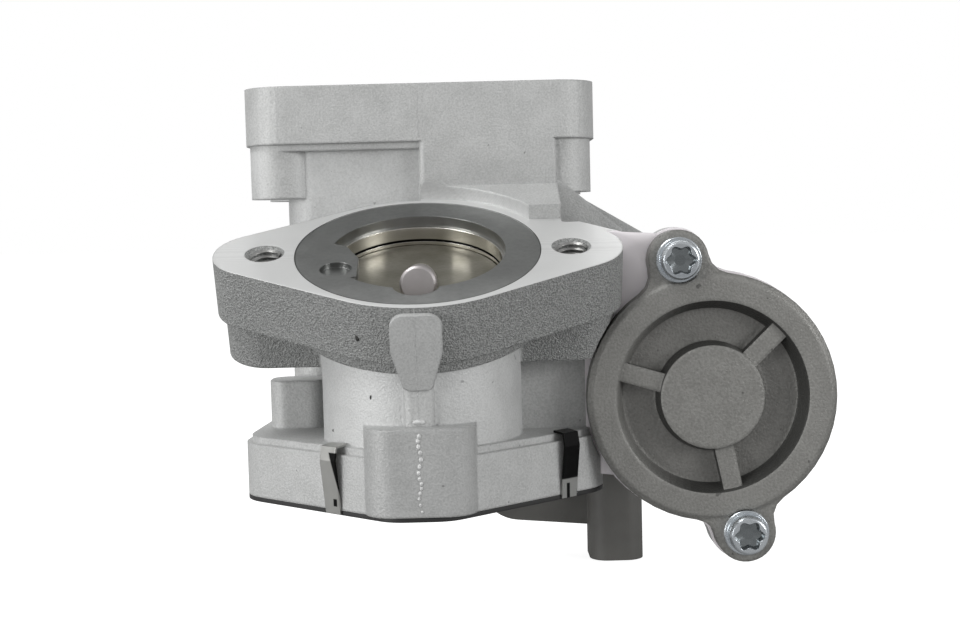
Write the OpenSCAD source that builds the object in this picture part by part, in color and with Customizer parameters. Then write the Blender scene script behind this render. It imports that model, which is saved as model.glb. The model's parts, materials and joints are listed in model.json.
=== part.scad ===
// Motor-driven throttle body with an oblique-shaft flap, in millimetres.
// The origin is the centre of the outlet bore in the bottom flange's face.
// +Z is up the outlet bore and +Y is from the motor cap to the gear cover.

/* [Flap branch] */
// Tilt of the branch flange and its bore, towards the motor cap side
tilt = 23; // [18:0.5:28]
// Height of the flap's pivot above the bottom face
pivot_z = 46.5; // [45:0.1:48]
// Distance from the pivot to the branch flange's machined face
face_up = 7.9; // [7:0.1:9]
// Distance between the branch flange's two bolt holes
branch_bolts = 66.4; // [64:0.2:70]
// Inside radius of the polished flap sleeve
sleeve_r = 18.3; // [17:0.1:18.5]
// Diameter of the flap shaft
shaft_d = 8; // [7:0.5:8]

/* [Top port] */
// Width of the top flange
top_w = 83; // [80:1:88]
// Depth of the top flange, front to back
top_d = 50; // [48:1:50]
// Height of the top flange's face
top_z = 92; // [90:0.2:94]
// Radius of the top port's bore
top_r = 19; // [16:0.5:20]

/* [Bottom flange] */
// Radius of the outlet bore
outlet_r = 14; // [12:0.5:14.5]
// Thickness of the bottom flange's rim
base_t = 13.2; // [10:0.2:14]
// Distance between the bottom flange's two side bolt holes
base_bolts = 58; // [56:1:60]

/* [Motor] */
// Sideways place of the motor's axis
motor_x = 63.6; // [63:0.1:64]
// Height of the motor's axis
motor_z = 19.9; // [19.5:0.1:21]
// Radius of the motor cap's rim
cap_r = 27.4; // [26:0.1:28]
// Radius of the motor's can
can_r = 20; // [18:0.5:20.5]
// Length of the motor's can
can_l = 59; // [55:1:60]

/* [Gears] */
// Teeth on the flap's sector gear, counted as if it were a full wheel
sector_teeth = 62; // [62:1:62]
// Teeth on the idler's small wheel
small_teeth = 15; // [15:1:15]
// Teeth on the idler's large wheel
large_teeth = 66; // [66:1:66]
// Teeth on the motor's pinion
pinion_teeth = 12; // [12:1:12]
// Module of the slow gear pair
slow_module = 1; // [1:0.1:1]
// Module of the fast gear pair
fast_module = 0.8; // [0.8:0.1:0.8]

/* [Hidden] */
$fn = 64;
eps = 0.01;
cast = [0.72, 0.73, 0.73];
machined = [0.8, 0.81, 0.81];
steel = [0.62, 0.6, 0.56];
dark_cast = [0.42, 0.42, 0.4];
black_plastic = [0.16, 0.16, 0.155];
brass = [0.72, 0.6, 0.36];
rubber = [0.1, 0.1, 0.1];
zinc = [0.75, 0.78, 0.8];

// Branch flange and flap
pivot_y = -10;
pivot = [0, pivot_y, pivot_z];
branch_t = 13;
branch_waist_r = 28.3;
branch_lobe_r = 11.2;
branch_boss_r = 9.6;
branch_boss_down = 23;
branch_boss_root = 20;
branch_step = 2.6;
branch_step_in = 1;
ring_r = 26.5;
ring_t = 2.6;
ring_hole_r = 19;
shaft_r = shaft_d / 2;
shaft_front = pivot_y - 9;
disc_r = sleeve_r - 0.2;
disc_t = 2;
sleeve_wall = 2;
sleeve_down = 14;
m8_tap_r = 3.4;
m6_tap_r = 2.5;
m5_tap_r = 2.1;

sleeve_seat_r = sleeve_r + sleeve_wall;
thread_depth = 18;
thread_lead_in = 1.1;
// Gate mark on the flange's front wall: circles of its outline, seen along the branch face
gate_mark = [
    [-1.7, -8.6, 1.6], [1.7, -8.6, 1.6], [2.1, -0.8, 3.2],
    [2.4, 3.9, 2.9], [-2.4, 3.9, 2.9], [-2.1, -0.8, 3.2]
];
gate_mark_proud = 1.6;
parting_rib_w = 6.4;
parting_rib_proud = 1.4;
// Cover ring: the tongue over the left of its opening, and the round notch over the shaft's end
tongue = [[-24, -16], [-12.6, -12.4], [-12.6, -3.6], [-15.6, 3], [-24, 7.6]];
notch_at = [0, -17.4];
notch_r = 4.9;
recess_at = [-17.2, -8.6];
recess_r = 3.4;
recess_deep = 1.3;
groove_up = 1.9;
groove_t = 0.5;

// Casting
base_step_h = 1.5;
base_step_in = 1.2;
side_pad = [13, 12, 4, -29.3, 10];
side_pad_h = 24;
outlet_depth = 35;
passage_r = 11;
passage_z = 26;
side_bolt_depth = 9;
front_bolt_depth = 13;
top_bolt_depth = 20;
neck_r = 21.8;
front_boss_y = -24.4;
front_boss_w = 23.4;
front_boss_h = 18;
nose_x = 3;
nose_y = front_boss_y - 4;
nose_r = 8.4;
side_bolt_y = -2;
side_lobe_r = 11;
top_front_y = 12;
top_y = top_front_y + top_d / 2;
top_t = 13.4;
top_corner_r = 10;
top_neck_w = 64;
top_neck_d = 42;
top_neck_corner = 7;
top_bolt_x = 33;
top_bolt_y = 16;
top_boss_r = 7.5;
top_boss_z = 66;
top_step_h = 1.6;
top_step_in = 1.3;
pad_low_z = 44;
pad_d = 16;
mill_r = 29.2;
cast_above_face = 3.4;
ledge_back = 15.5;
port_step_z = 57;
port_step = 0.8;
port_floor_z = 20;
tube_r = 8.4;

// Gearbox and motor
wall_y = 58;
pocket_y = 62;
rim_y = 82;
cover_y = 93;
rim_wall = 3.5;
sector_zone_r = 37;
idler_zone_r = 32;
motor_zone_r = 27.4;
motor_front_y = -6;
motor_wall = 5.4;
bushing_r = 6;
seal_y = 42;
seal_t = 5;
// Webs that join the motor's housing to the necks, each an outline in the X-Z plane
front_web = [[10, 6], [44, 2], [motor_x, motor_z], [motor_x - 3, 55.4], [45, 56.5], [36, 59], [10, 59]];
upper_web = [[20, 40], [47, 43], [47, 57], [30, 71], [20, 71]];
lower_block = [[14, 7], [38, 7], [42, 18], [42, 42], [14, 42]];
cap_t = 6;
cap_gasket_t = 0.6;
housing_bore_r = can_r + 0.2;
can_y0 = -1;
cap_screw_ring = 31;
cap_screw_angle = 103;
cap_ear_r = 6.6;
cap_pocket = 4;
cap_boss_r = 11.4;
cap_chamfer = 0.8;
cap_pocket_r = 21.2;
cap_draft = 1.8;
cap_rib_w = 4.2;
cap_ribs = [44, 163, 282];
cap_screw_clear_r = 2.75;
screw_head_r = 4.25;
screw_head_h = 4.4;
washer_r = 5;
washer_t = 0.8;

// Gear train, in the X-Z plane, with pressure angle 25 degrees so that no small wheel is undercut
pressure = 25;
backlash = 0.06;
shaft_at = [0, pivot_z];
motor_at = [motor_x, motor_z];
slow_reach = slow_module * (sector_teeth + small_teeth) / 2;
fast_reach = fast_module * (large_teeth + pinion_teeth) / 2;
span = norm(motor_at - shaft_at);
span_dir = (motor_at - shaft_at) / span;
along = (slow_reach * slow_reach - fast_reach * fast_reach + span * span) / (2 * span);
across = sqrt(slow_reach * slow_reach - along * along);
idler_at = shaft_at + along * span_dir + across * [span_dir.y, -span_dir.x];
slow_angle = atan2(idler_at.y - shaft_at.y, idler_at.x - shaft_at.x);
fast_angle = atan2(motor_at.y - idler_at.y, motor_at.x - idler_at.x);
idler_pin_r = 2.5;
motor_shaft_r = 2;
run = 0.04;

// ---------- outlines ----------

// Direction of the outward normal on the edge that joins two circles of a loop, each [x, y, radius]
function edge_normal(a, b) =
    atan2(b.y - a.y, b.x - a.x) - acos((a.z - b.z) / norm([b.x - a.x, b.y - a.y]));

// The arc of one circle, from one normal round to the next
function arc(c, from, to) =
    let (
        sweep = to - from - 360 * floor((to - from) / 360),
        steps = ceil(sweep / (c.z > 15 ? 4 : 10)) + 1
    )
    [for (k = [0 : steps])
        let (a = from + sweep * k / steps)
        [c.x, c.y] + c.z * [cos(a), sin(a)]];

// Outline of a belt drawn round circles that are listed counter-clockwise
function belt(circles) =
    let (n = len(circles))
    [for (i = [0 : n - 1])
        each arc(circles[i], edge_normal(circles[(i + n - 1) % n], circles[i]),
                 edge_normal(circles[i], circles[(i + 1) % n]))];

// Circles at the corners of a rounded rectangle
function corners(w, d, r, cx = 0, cy = 0) =
    [for (s = [[-1, -1], [1, -1], [1, 1], [-1, 1]])
        [cx + s.x * (w / 2 - r), cy + s.y * (d / 2 - r), r]];

// The same circles with every radius changed by an amount
function grown(circles, more) = [for (c = circles) [c.x, c.y, c.z + more]];

// A slab in the X-Z plane between two Y values
module slab(y0, y1) {
    translate([0, y1, 0]) rotate([90, 0, 0]) linear_extrude(y1 - y0) children();
}

// A round bar along Y at a place in the X-Z plane
module bar(at, r, y0, y1) {
    translate([at.x, y1, at.y]) rotate([90, 0, 0]) cylinder(r = r, h = y1 - y0);
}

// The frame of the branch bore: its origin is the pivot and its Z is the bore axis
module on_branch() {
    translate(pivot) rotate([tilt, 0, 0]) children();
}

branch_loop = [
    [-branch_bolts / 2, 0, branch_lobe_r], [0, 0, branch_waist_r], [branch_bolts / 2, 0, branch_lobe_r],
    [0, 0, branch_waist_r]
];
base_loop = [
    [-base_bolts / 2, side_bolt_y, side_lobe_r], [-nose_x, nose_y, nose_r], [nose_x, nose_y, nose_r],
    [base_bolts / 2, side_bolt_y, side_lobe_r], [24, 46, 12], [-24, 46, 12]
];
gearbox_loop = [
    [motor_x, motor_z, motor_zone_r], [0, pivot_z, sector_zone_r], [idler_at.x, idler_at.y, idler_zone_r]
];

// ---------- gears ----------

function involute_lag(base, r) =
    let (a = r > base ? acos(base / r) : 0)
    (tan(a) - a * PI / 180) * 180 / PI;

// Outline of a spur wheel with its first tooth on the first axis; teeth from first to last
function wheel(teeth, size, first, last) =
    let (
        pitch = size * teeth / 2,
        base = pitch * cos(pressure),
        root = pitch - 1.25 * size,
        tip = pitch + size,
        half = 90 / teeth - backlash / pitch * 180 / PI + involute_lag(base, pitch),
        radii = [root, max(base, root + 0.02), pitch, tip]
    )
    [for (k = [first : last])
        each concat(
            [for (r = radii) r * [cos(360 * k / teeth - half + involute_lag(base, r)),
                                  sin(360 * k / teeth - half + involute_lag(base, r))]],
            [for (i = [3 : -1 : 0])
                radii[i] * [cos(360 * k / teeth + half - involute_lag(base, radii[i])),
                            sin(360 * k / teeth + half - involute_lag(base, radii[i]))]]
        )];

// ---------- the die casting ----------

module branch_flange() {
    on_branch() translate([0, 0, face_up - branch_t]) linear_extrude(branch_t) polygon(belt(branch_loop));
    on_branch() translate([0, 0, face_up - branch_t - branch_step])
        cylinder(r = branch_waist_r - branch_step_in, h = branch_step + 1);
    // The bolt bosses run back to the neck as blocks
    on_branch() for (side = [-1, 1])
        translate([0, 0, face_up - branch_boss_down]) linear_extrude(branch_boss_down - 1)
            polygon(belt([for (x = [branch_bolts / 2, branch_boss_root]) [side * x, 0, branch_boss_r]]));
}

module front_rib() {
    // The gate mark on the flange's front wall and the parting rib that runs down the neck
    on_branch() slab(-branch_waist_r - gate_mark_proud, -branch_waist_r + 8) polygon(belt(gate_mark));
    translate([0, pivot_y, base_t - 2]) linear_extrude(32)
        polygon(belt(corners(parting_rib_w, 8, 1.6, 0, 4 - neck_r - parting_rib_proud)));
}

module base_flange() {
    linear_extrude(base_t - base_step_h) polygon(belt(base_loop));
    translate([0, 0, base_t - base_step_h - eps]) linear_extrude(base_step_h)
        polygon(belt(grown(base_loop, -base_step_in)));
    linear_extrude(front_boss_h) polygon(belt(corners(front_boss_w, 24, 6.5, 0, front_boss_y - 0.8)));
    linear_extrude(side_pad_h)
        polygon(belt(corners(side_pad[0], side_pad[1], side_pad[2], side_pad[3], side_pad[4])));
}

module top_flange() {
    translate([0, top_y, top_z - top_t]) linear_extrude(top_t)
        polygon(belt(corners(top_w, top_d, top_corner_r)));
    translate([0, top_y, top_z - top_t - top_step_h]) linear_extrude(top_step_h + eps)
        polygon(belt(grown(corners(top_w, top_d, top_corner_r), -top_step_in)));
    translate([0, top_y, 2]) linear_extrude(top_z - top_t)
        polygon(belt(corners(top_neck_w, top_neck_d, top_neck_corner)));
    // Pad beside the parting line, flush with the flange's front
    translate([0, 0, pad_low_z]) linear_extrude(top_z - pad_low_z - 3)
        polygon(belt(corners(top_neck_w / 2, pad_d, 1.2, top_neck_w / 4, top_front_y + pad_d / 2)));
    // The casting stands a little above the branch face between this pad and the cutter's circle
    on_branch() translate([0, 8, 2]) cube([top_neck_w / 2, 30, face_up + cast_above_face - 2]);
    for (side = [-1, 1], row = [-1, 1])
        translate([side * top_bolt_x, top_y + row * top_bolt_y, top_boss_z])
            cylinder(r = top_boss_r, h = top_z - top_boss_z - 2);
}

module motor_housing() {
    bar(motor_at, can_r + motor_wall, motor_front_y, wall_y + 1);
    slab(motor_front_y, 0) polygon(cap_outline(0.5));
    // The front web is machined flush with the motor's flange
    slab(motor_front_y, 2) polygon(front_web);
    slab(top_front_y + 1, wall_y + 1) polygon(upper_web);
    slab(2, 20) polygon(lower_block);
}

module gearbox_shell() {
    slab(wall_y, rim_y) polygon(belt(gearbox_loop));
    for (p = cover_screw_places) bar(p, cover_ear_r, rim_y - 12, rim_y);
}

module housing_solid() {
    translate([0, pivot_y, 1]) cylinder(r = neck_r, h = pivot_z + 2);
    branch_flange();
    front_rib();
    base_flange();
    top_flange();
    motor_housing();
    gearbox_shell();
}

module housing_cuts() {
    // Everything above the branch flange's machined face, as the milling cutter leaves it
    on_branch() translate([0, 0, face_up]) cylinder(r = mill_r, h = 14);
    on_branch() translate([-branch_bolts / 2, 0, face_up]) cylinder(r = branch_lobe_r + 0.6, h = 12);
    on_branch() translate([20, -branch_lobe_r - 2, face_up]) cube([28, branch_lobe_r + 2 + ledge_back, 12]);
    // Room for the motor cap and its ears
    slab(motor_front_y - 14, motor_front_y) polygon(cap_outline(0.5));
    // Branch bore, the recess of its cover ring and the seat of its sleeve
    on_branch() translate([0, 0, face_up - ring_t]) cylinder(r = ring_r, h = ring_t + 1);
    on_branch() translate([0, 0, -sleeve_down]) cylinder(r = sleeve_seat_r, h = sleeve_down + face_up);
    on_branch() translate([0, 0, -sleeve_down - 6]) cylinder(r = sleeve_r - 2, h = 8);
    on_branch() for (side = [-1, 1])
        translate([side * branch_bolts / 2, 0, face_up - thread_depth]) {
            cylinder(r = m8_tap_r, h = thread_depth + 1);
            translate([0, 0, thread_depth - thread_lead_in + 0.2])
                cylinder(r1 = m8_tap_r, r2 = m8_tap_r + thread_lead_in, h = thread_lead_in);
        }
    // Outlet bore
    translate([0, 0, -1]) cylinder(r = outlet_r, h = outlet_depth + 1);
    // Top port, its cross passage to the outlet bore
    translate([0, top_y, port_step_z]) cylinder(r = top_r, h = top_z);
    translate([0, top_y, port_floor_z]) cylinder(r = top_r - port_step, h = top_z);
    translate([0, 0, passage_z]) rotate([-90, 0, 0]) cylinder(r = passage_r, h = top_y);
    // Bolt holes
    for (side = [-1, 1])
        translate([side * base_bolts / 2, side_bolt_y, -1]) cylinder(r = m6_tap_r, h = side_bolt_depth + 1);
    translate([0, front_boss_y, -1]) cylinder(r = m6_tap_r, h = front_bolt_depth + 1);
    for (side = [-1, 1], row = [-1, 1])
        translate([side * top_bolt_x, top_y + row * top_bolt_y, top_z - top_bolt_depth])
            cylinder(r = m8_tap_r, h = top_bolt_depth + 1);
    // Motor bore with its shaft passage
    bar(motor_at, housing_bore_r, motor_front_y - 1, can_y0 + can_l);
    bar(motor_at, 6.2, wall_y - 8, pocket_y + 1);
    for (turn = [0, 180])
        bar(screw_at(turn), m5_tap_r, motor_front_y - 1, motor_front_y + 9);
    // Gear pocket
    slab(pocket_y, rim_y + 1) polygon(belt(grown(gearbox_loop, -rim_wall)));
    for (p = cover_screw_places) bar(p, cover_screw_r, rim_y - 8, rim_y + 1);
}

module housing() {
    color(cast) difference() {
        union() {
            difference() {
                housing_solid();
                housing_cuts();
            }
            // Tube that carries the shaft across the top port
            difference() {
                bar(shaft_at, tube_r, 9, pocket_y);
                on_branch() translate([0, 0, -sleeve_down]) cylinder(r = sleeve_seat_r, h = 40);
            }
            // Boss of the idler pin
            bar(idler_at, 5, wall_y, pocket_y + 1);
        }
        bar(shaft_at, bushing_r, 5, pocket_y + 1);
        bar(idler_at, idler_pin_r, wall_y + 1, pocket_y + 3);
    }
}

// ---------- branch port ----------

module seat_ring() {
    color(machined) on_branch() translate([0, 0, face_up - ring_t]) difference() {
        cylinder(r = ring_r, h = ring_t - 0.1);
        difference() {
            translate([0, 0, -1]) cylinder(r = ring_hole_r, h = ring_t + 2);
            // The tongue that covers the left of the bore
            translate([0, 0, -2]) linear_extrude(ring_t + 4)
                polygon(tongue);
        }
        // Notch over the shaft's end
        translate([notch_at.x, notch_at.y, -1]) cylinder(r = notch_r, h = ring_t + 2);
        // Blind recess in the tongue
        translate([recess_at.x, recess_at.y, ring_t - recess_deep])
            cylinder(r = recess_r, h = recess_deep + 1);
    }
}

module bore_sleeve() {
    color(steel) difference() {
        on_branch() difference() {
            translate([0, 0, -sleeve_down]) cylinder(r = sleeve_seat_r, h = sleeve_down + face_up - ring_t);
            translate([0, 0, -sleeve_down - 1]) cylinder(r = sleeve_r, h = sleeve_down + face_up + 2);
            // Parting groove above the flap's seat
            translate([0, 0, groove_up]) cylinder(r = sleeve_r + groove_t, h = groove_t);
        }
        bar(shaft_at, bushing_r, 5, 16);
    }
}

module throttle_disc() {
    color(steel) difference() {
        on_branch() translate([0, 0, -disc_t / 2]) cylinder(r = disc_r, h = disc_t);
        bar(shaft_at, shaft_r, -40, 20);
    }
}

module throttle_shaft() {
    color(steel) {
        bar(shaft_at, shaft_r, shaft_front + 0.5, 78);
        translate([0, shaft_front + 0.5, pivot_z]) rotate([90, 0, 0])
            cylinder(r1 = shaft_r, r2 = shaft_r - 0.5, h = 0.5);
    }
}

// A round ring along Y
module tube(at, outer, inner, y0, y1) {
    difference() {
        bar(at, outer, y0, y1);
        bar(at, inner, y0 - 1, y1 + 1);
    }
}

module inner_bushing() {
    color(brass) difference() {
        tube(shaft_at, bushing_r, shaft_r + run, 9, 26);
        on_branch() translate([0, 0, -20]) cylinder(r = sleeve_r + 0.9, h = 40);
    }
}

module shaft_seal() {
    color(rubber) tube(shaft_at, bushing_r, shaft_r + run, seal_y, seal_y + seal_t);
}

module outer_bushing() {
    color(brass) tube(shaft_at, bushing_r, shaft_r + run, seal_y + seal_t + 1, pocket_y);
}

// ---------- gear train ----------

sector_first = -17;
sector_last = 2;

module sector_gear() {
    turned = slow_angle;
    rim = slow_module * sector_teeth / 2 - 1.25 * slow_module;
    color([0.85, 0.83, 0.76]) difference() {
        slab(66, 72) translate(shaft_at) {
            rotate(turned) intersection() {
                polygon(concat([[0, 0]], wheel(sector_teeth, slow_module, sector_first, sector_last)));
                circle(slow_module * (sector_teeth / 2 + 1) + 1);
            }
            circle(10);
        }
        bar(shaft_at, shaft_r, 60, 80);
    }
}

module sensor_magnet() {
    color([0.3, 0.3, 0.32]) bar(shaft_at, 5, 78, 80.5);
}

module idler_gear() {
    color([0.85, 0.83, 0.76]) difference() {
        union() {
            slab(74, 79) translate(idler_at) rotate(fast_angle)
                polygon(wheel(large_teeth, fast_module, 0, large_teeth - 1));
            slab(65.5, 74 + eps) translate(idler_at) rotate(slow_angle + 180 + 180 / small_teeth)
                polygon(wheel(small_teeth, slow_module, 0, small_teeth - 1));
        }
        bar(idler_at, idler_pin_r + run, 60, 84);
    }
}

module idler_pin() {
    color(zinc) bar(idler_at, idler_pin_r, wall_y + 1, 81);
}

module motor_pinion() {
    color(brass) difference() {
        slab(73, 80) translate(motor_at) rotate(fast_angle + 180 + 180 / pinion_teeth)
            polygon(wheel(pinion_teeth, fast_module, 0, pinion_teeth - 1));
        bar(motor_at, motor_shaft_r, 60, 84);
    }
}

// ---------- motor ----------

module motor_can() {
    color(zinc) difference() {
        union() {
            bar(motor_at, can_r, can_y0, can_y0 + can_l);
            bar(motor_at, 6, can_y0 + can_l - eps, can_y0 + can_l + 3);
        }
        bar(motor_at, motor_shaft_r + run, can_y0 + can_l - 22, can_y0 + can_l + 4);
    }
}

module motor_shaft() {
    color(steel) bar(motor_at, motor_shaft_r, can_y0 + can_l - 20, 80);
}

module wave_washer() {
    color(zinc) tube(motor_at, can_r - 1, can_r - 5, can_y0 - 0.8, can_y0);
}

function screw_at(turn) =
    motor_at + cap_screw_ring * [cos(cap_screw_angle + turn), sin(cap_screw_angle + turn)];

// Outline of the cap: its round rim with two screw ears that flow into it
function cap_outline(more) =
    let (
        ear = cap_ear_r + more,
        flare = 5,
        rim = cap_r + more,
        reach = cap_screw_ring,
        toward = acos(
            (pow(reach, 2) + pow(rim + flare, 2) - pow(ear + flare, 2)) / (2 * reach * (rim + flare))
        ),
        hollow = (rim + flare) * [cos(toward), sin(toward)],
        to_rim = toward + 180,
        to_ear = atan2(-hollow.y, reach - hollow.x)
    )
    [for (turn = [0, 180])
        each [for (p = concat(
            [for (k = [0 : 3]) hollow_point([hollow.x, -hollow.y], flare, -to_rim, -to_ear, k / 3)],
            arc([reach, 0, ear], -to_ear - 180, to_ear + 180 + 360),
            [for (k = [0 : 3]) hollow_point(hollow, flare, to_ear, to_rim, k / 3)],
            [for (k = [1 : 19])
                let (a = toward + (180 - 2 * toward) * k / 20)
                rim * [cos(a), sin(a)]]
        )) motor_at + spin(p, cap_screw_angle + turn)]];

function spin(p, a) = [p.x * cos(a) - p.y * sin(a), p.x * sin(a) + p.y * cos(a)];

// A point on the hollow blend between rim and ear
function hollow_point(c, r, from, to, t) =
    let (sweep = to - from - 360 * round((to - from) / 360))
    c + r * [cos(from + sweep * t), sin(from + sweep * t)];

module cap_gasket() {
    back = motor_front_y;
    color(rubber) tube(motor_at, cap_r - 1, housing_bore_r + 1.5, back - cap_gasket_t, back);
}

module motor_cap() {
    back = motor_front_y - cap_gasket_t;
    front = back - cap_t;
    floor_y = front + cap_pocket;
    color(dark_cast) difference() {
        union() {
            difference() {
                union() {
                    slab(front + cap_chamfer, back) polygon(cap_outline(0));
                    translate([motor_x, front + cap_chamfer, motor_z]) rotate([90, 0, 0])
                        cylinder(r1 = cap_r - 0.4, r2 = cap_r - 0.4 - cap_chamfer, h = cap_chamfer);
                }
                translate([motor_x, floor_y, motor_z]) rotate([90, 0, 0])
                    cylinder(r1 = cap_pocket_r - cap_draft, r2 = cap_pocket_r, h = cap_pocket + eps);
            }
            translate([motor_x, floor_y + eps, motor_z]) rotate([90, 0, 0])
                cylinder(r1 = cap_boss_r + 0.8, r2 = cap_boss_r, h = cap_pocket - 0.3);
            for (rib = cap_ribs)
                translate([motor_x, 0, motor_z]) rotate([0, -rib, 0])
                    translate([cap_boss_r - 1, floor_y - cap_pocket + 1, -cap_rib_w / 2])
                        cube([cap_r - cap_boss_r - 2.5, cap_pocket, cap_rib_w]);
        }
        for (turn = [0, 180]) {
            bar(screw_at(turn), cap_screw_clear_r, front - 1, back + 1);
            bar(screw_at(turn), washer_r + 0.3, front - 1, front + cap_chamfer);
        }
    }
}

module cap_screws() {
    front = motor_front_y - cap_gasket_t - cap_t + cap_chamfer;
    color(zinc) for (turn = [0, 180]) difference() {
        union() {
            bar(screw_at(turn), m5_tap_r, front, motor_front_y + 8);
            bar(screw_at(turn), screw_head_r, front - screw_head_h, front);
            bar(screw_at(turn), washer_r, front - washer_t, front);
        }
        translate([screw_at(turn).x, front - 1.6, screw_at(turn).y]) rotate([90, 0, 0]) star_socket(3.6);
    }
}

// Six-lobed drive socket, cut upwards
module star_socket(depth) {
    linear_extrude(depth)
        polygon([for (k = [0 : 59]) (2.5 + 0.42 * cos(k * 36)) * [cos(k * 6), sin(k * 6)]]);
}

// ---------- gear cover and connector ----------

module cover_gasket() {
    color(rubber) slab(rim_y, rim_y + gasket_t) difference() {
        polygon(belt(grown(gearbox_loop, -0.6)));
        polygon(belt(grown(gearbox_loop, -rim_wall + 0.6)));
    }
}

module gear_cover() {
    lobe = [[24, -14, 12], [47, -17, 11], [54, 10, 12], [12, 12, 10]];
    color(black_plastic) difference() {
        union() {
            slab(rim_y + gasket_t, cover_y - 2) polygon(belt(gearbox_loop));
            slab(cover_y - 2 - eps, cover_y) polygon(belt(grown(gearbox_loop, -2)));
            slab(rim_y + gasket_t, cover_y) polygon(belt(lobe));
            translate([plug_at.x, plug_at.y, plug_low]) linear_extrude(plug_top - plug_low)
                polygon(belt(corners(plug_w, plug_d, 5)));
            bar(shaft_at, 15, cover_y - eps, cover_y + 3);
            for (p = cover_screw_places) bar(p, cover_ear_r, rim_y + gasket_t, cover_y - 4);
        }
        // Gear space
        slab(rim_y, cover_y - 3) polygon(belt(grown(gearbox_loop, -rim_wall)));
        // Plug opening
        translate([plug_at.x, plug_at.y, plug_low - 1]) linear_extrude(plug_depth + 1)
            polygon(belt(corners(plug_w - 2 * plug_wall, plug_d - 2 * plug_wall, 3)));
        pin_bars();
        for (p = cover_screw_places) {
            bar(p, cover_screw_r + 0.25, rim_y - 1, cover_y + 4);
            bar(p, 4, cover_y - 4, cover_y + 4);
        }
    }
}

// Plug connector that points down from the cover's lower lobe
plug_at = [50.5, 82];
plug_w = 15;
plug_d = 18;
plug_wall = 1.8;
plug_low = -36.2;
plug_top = -10;
plug_depth = 17;
pin_length = 12;
gasket_t = 0.8;

module pin_bars() {
    for (col = [-1, 0, 1], row = [-1, 1])
        translate([plug_at.x + col * 3.4 - 0.5, plug_at.y + row * 2.6 - 0.3, plug_low + 7])
            cube([1, 0.6, pin_length]);
}

// Ears round the gearbox that take the cover's screws
cover_screw_places = concat(
    [for (a = [62, 128, 205]) shaft_at + (sector_zone_r + 1.2) * [cos(a), sin(a)]],
    [for (a = [28, 318]) motor_at + (motor_zone_r + 1.2) * [cos(a), sin(a)]]
);
cover_ear_r = 4.8;
cover_screw_r = 1.7;

module connector_pins() {
    color(brass) pin_bars();
}

module cover_screws() {
    color(zinc) for (p = cover_screw_places) {
        bar(p, cover_screw_r, rim_y - 7, cover_y - 4);
        bar(p, 3.6, cover_y - 4, cover_y - 1.2);
    }
}

// ---------- bottom gasket ----------

gasket_hole_r = 3.6;

module base_gasket() {
    color(rubber) translate([0, 0, -1]) difference() {
        linear_extrude(1) polygon(belt(base_loop));
        translate([0, 0, -1]) cylinder(r = outlet_r, h = 3);
        for (side = [-1, 1])
            translate([side * base_bolts / 2, side_bolt_y, -1]) cylinder(r = gasket_hole_r, h = 3);
        translate([0, front_boss_y, -1]) cylinder(r = gasket_hole_r, h = 3);
    }
}

// Line of a spring clip, outwards from the rim and upwards: leg, nose and hook
clip_t = 0.5;
clip_x = [18.5, 31.2];
clip_line = [[0.25, -0.8], [1.6, base_t - 2.6], [1.1, base_t + 0.15], [-1.8, base_t + 0.45]];

module gasket_clips() {
    rim_normal = edge_normal(base_loop[0], base_loop[1]);
    rim_point = [base_loop[1].x, base_loop[1].y] + base_loop[1].z * [cos(rim_normal), sin(rim_normal)];
    run_dir = [-sin(rim_normal), cos(rim_normal)];
    color(zinc) for (side = [-1, 1]) {
        reach = (-clip_x[side < 0 ? 0 : 1] - rim_point.x) / run_dir.x;
        place = rim_point + reach * run_dir;
        translate([-side * place.x, place.y, 0])
            rotate([0, 0, side < 0 ? rim_normal : 180 - rim_normal])
                rotate([90, 0, 0]) linear_extrude(4.4, center = true)
                    polygon(concat(strip_side(clip_line, clip_t / 2),
                                   [for (k = [len(clip_line) - 1 : -1 : 0])
                                       strip_side(clip_line, -clip_t / 2)[k]]));
    }
}

// One side of a strip that follows a line
function strip_side(line, push) =
    [for (k = [0 : len(line) - 1])
        let (
            a = line[max(k - 1, 0)],
            b = line[min(k + 1, len(line) - 1)]
        )
        line[k] + push * [a.y - b.y, b.x - a.x] / norm(b - a)];

housing();
seat_ring();
bore_sleeve();
throttle_disc();
throttle_shaft();
inner_bushing();
outer_bushing();
shaft_seal();
sector_gear();
sensor_magnet();
idler_gear();
idler_pin();
motor_can();
motor_shaft();
motor_pinion();
wave_washer();
cap_gasket();
motor_cap();
cap_screws();
cover_gasket();
gear_cover();
connector_pins();
cover_screws();
base_gasket();
gasket_clips();
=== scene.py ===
import json
import math
import bpy
import bmesh
from mathutils import Matrix, Vector
from mathutils.bvhtree import BVHTree


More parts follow.
